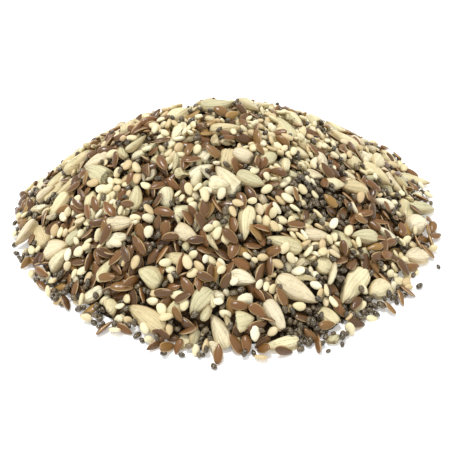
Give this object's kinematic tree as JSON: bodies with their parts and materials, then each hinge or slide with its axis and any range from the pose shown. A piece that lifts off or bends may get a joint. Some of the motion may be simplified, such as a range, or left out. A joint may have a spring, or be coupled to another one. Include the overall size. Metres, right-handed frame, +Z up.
{
  "type": "heap of mixed seeds",
  "caption": "Low poured heap of mixed sunflower kernels, flax, sesame and chia seeds, lying loose on a flat foot with an uneven edge.",
  "frame": {"origin": "middle of the heap's box, on the surface it lies on", "axes": "+Z up, +X to the right along the heap's long side as the picture shows it, +Y away from the viewer"},
  "size_m": [0.1222, 0.107, 0.0326],
  "materials": {
    "mixed_seed": "matt mixed cream and brown seeds",
    "kernel": "matt ivory to grey-beige, with fine lengthwise lines",
    "flax": "glossy reddish brown with a paler rim",
    "sesame": "satin cream, some golden",
    "chia": "satin dark grey, mottled with pale flecks"
  },
  "bodies": {
    "root": {"seed_heap": "mixed_seed"}
  },
  "joints": []
}
